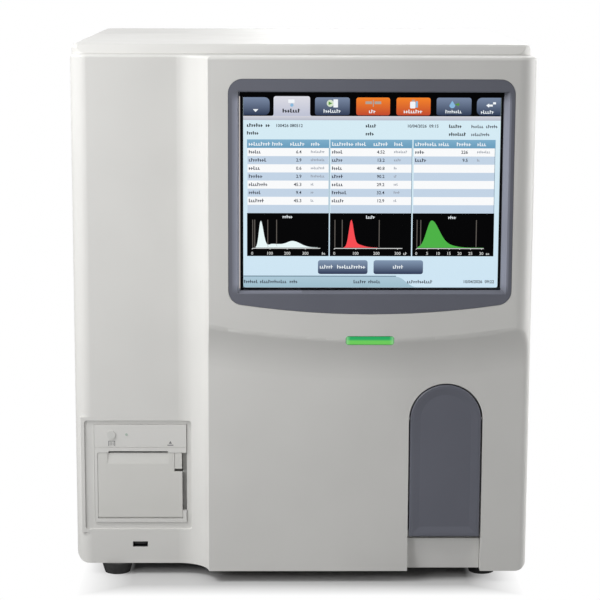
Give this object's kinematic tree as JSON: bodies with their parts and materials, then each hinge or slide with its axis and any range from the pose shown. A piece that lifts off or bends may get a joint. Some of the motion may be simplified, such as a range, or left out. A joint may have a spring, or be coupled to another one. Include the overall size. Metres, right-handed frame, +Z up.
{
  "type": "differential cell counter",
  "caption": "Benchtop differential blood cell counter with a colour screen, a panel printer, a hinged sample flap and the sampling mechanism inside.",
  "frame": {"origin": "middle of the footprint, on the surface that the feet stand on", "axes": "+X to the right seen from the front, +Y from the front to the back, +Z up"},
  "size_m": [0.39, 0.412, 0.46],
  "materials": {
    "casing": "fine moulded grain, satin",
    "rear_sheet": "powder coat",
    "chassis": "plated sheet steel",
    "niche": "moulded, satin",
    "slate": "blue-grey moulding, satin",
    "screen": "lit display behind glass",
    "display_metal": "stamped frame",
    "lamp": "lit green light guide",
    "printer_case": "moulded, satin",
    "printer_door": "moulded, satin",
    "button": "moulded, satin",
    "paper": "thermal paper",
    "rubber": "matte",
    "steel": "ground",
    "motor": "black steel",
    "slider": "machined",
    "holder": "moulded",
    "bath": "clear acrylic, dulled",
    "barrel": "clear acrylic",
    "plunger": "white seal on a rod",
    "valves": "moulded",
    "rotor": "moulded",
    "circuit": "solder mask",
    "supply": "folded sheet",
    "fan": "moulded",
    "guard": "plated",
    "inlet": "moulded",
    "port_metal": "plated",
    "fitting": "moulded",
    "print_head": "machined"
  },
  "bodies": {
    "root": {"front_cover": "casing", "top_cover": "casing", "left_side_panel": "casing", "right_side_panel": "casing", "rear_panel": "rear_sheet", "base_plate": "chassis", "partition_wall": "chassis", "display_bracket": "chassis", "traverse_bracket": "chassis", "bath_bracket": "chassis", "syringe_frame": "chassis", "sample_bay": "niche", "display_bezel": "slate", "touch_glass": "screen", "lcd_module": "display_metal", "status_lamp": "lamp", "printer_housing": "printer_case", "feet": "rubber", "probe_wiper": "rubber", "flap_pin": "steel", "traverse_rails": "steel", "rear_screws": "steel", "traverse_motor": "motor", "syringe_motor": "motor", "waste_pump": "motor", "tube_holder": "holder", "counting_baths": "bath", "vacuum_chamber": "bath", "diluent_syringe": "barrel", "lyse_syringe": "barrel", "valve_bank": "valves", "main_board": "circuit", "power_supply": "supply", "fan_frame": "fan", "fan_guard": "guard", "power_inlet": "inlet", "data_ports": "port_metal", "usb_port": "port_metal", "ground_stud": "port_metal", "fluid_fittings": "fitting", "thermal_head": "print_head"},
    "flap": {"sample_flap": "slate"},
    "traverse": {"traverse_frame": "slider", "lift_motor": "motor"},
    "traverse_drive": {"traverse_screw": "steel"},
    "lift": {"lift_carriage": "slider", "sample_probe": "steel"},
    "lift_drive": {"lift_screw": "steel"},
    "plungers": {"diluent_plunger": "plunger", "lyse_plunger": "plunger", "plunger_crosshead": "slider"},
    "syringe_drive": {"syringe_screw": "steel"},
    "pump_wheel": {"pump_rotor": "rotor"},
    "fan_wheel": {"fan_rotor": "fan"},
    "power_key": {"power_rocker": "inlet"},
    "paper_door": {"printer_door": "printer_door"},
    "latch": {"door_latch": "printer_door"},
    "platen": {"platen_roller": "rubber"},
    "feed_key": {"feed_button": "button"},
    "paper": {"paper_roll": "paper"}
  },
  "joints": [
    {"name": "flap_swing", "type": "hinge", "parent": "root", "child": "flap", "pos_m": [0.1237, -0.194, 0.144], "axis": [-1, 0, 0], "range_deg": [0, 75]},
    {"name": "traverse_slide", "type": "slide", "parent": "root", "child": "traverse", "axis": [0, 1, 0], "range_m": [0, 0.12]},
    {"name": "traverse_turn", "type": "hinge", "parent": "root", "child": "traverse_drive", "pos_m": [0.1237, -0.1, 0.32], "axis": [0, 1, 0], "range_deg": [-5, 4330]},
    {"name": "lift_slide", "type": "slide", "parent": "traverse", "child": "lift", "axis": [0, 0, -1], "range_m": [0, 0.095]},
    {"name": "lift_turn", "type": "hinge", "parent": "traverse", "child": "lift_drive", "pos_m": [0.1237, -0.1565, 0.25], "axis": [0, 0, 1], "range_deg": [-5, 3430]},
    {"name": "plunger_slide", "type": "slide", "parent": "root", "child": "plungers", "axis": [0, 0, 1], "range_m": [0, 0.06]},
    {"name": "syringe_turn", "type": "hinge", "parent": "root", "child": "syringe_drive", "pos_m": [0.106, 0.076, 0.14], "axis": [0, 0, 1], "range_deg": [-5, 2170]},
    {"name": "pump_turn", "type": "hinge", "parent": "root", "child": "pump_wheel", "pos_m": [0.099, 0.0065, 0.072], "axis": [0, 0, 1], "continuous": true},
    {"name": "fan_turn", "type": "hinge", "parent": "root", "child": "fan_wheel", "pos_m": [-0.06, 0.18, 0.33], "axis": [0, 1, 0], "continuous": true},
    {"name": "power_rock", "type": "hinge", "parent": "root", "child": "power_key", "pos_m": [-0.147, 0.1955, 0.11], "axis": [1, 0, 0], "range_deg": [0, 12]},
    {"name": "door_swing", "type": "hinge", "parent": "root", "child": "paper_door", "pos_m": [-0.13875, -0.1726, 0.0533], "axis": [1, 0, 0], "range_deg": [0, 88]},
    {"name": "latch_slide", "type": "slide", "parent": "paper_door", "child": "latch", "axis": [0, 0, -1], "range_m": [0, 0.0018], "stiffness_N_per_m": 200, "springref_m": -0.001},
    {"name": "platen_turn", "type": "hinge", "parent": "paper_door", "child": "platen", "pos_m": [-0.1405, -0.1656, 0.101], "axis": [1, 0, 0], "continuous": true},
    {"name": "feed_press", "type": "slide", "parent": "root", "child": "feed_key", "axis": [0, 1, 0], "range_m": [0, 0.0008], "stiffness_N_per_m": 400, "springref_m": -0.0005},
    {"name": "paper_turn", "type": "hinge", "parent": "root", "child": "paper", "pos_m": [-0.1405, -0.1366, 0.077], "axis": [1, 0, 0], "continuous": true}
  ],
  "couplings": [
    {"joint": "traverse_turn", "follows": "traverse_slide", "rad_per_m": 628.32},
    {"joint": "lift_turn", "follows": "lift_slide", "rad_per_m": 628.32},
    {"joint": "syringe_turn", "follows": "plunger_slide", "rad_per_m": 628.32}
  ]
}
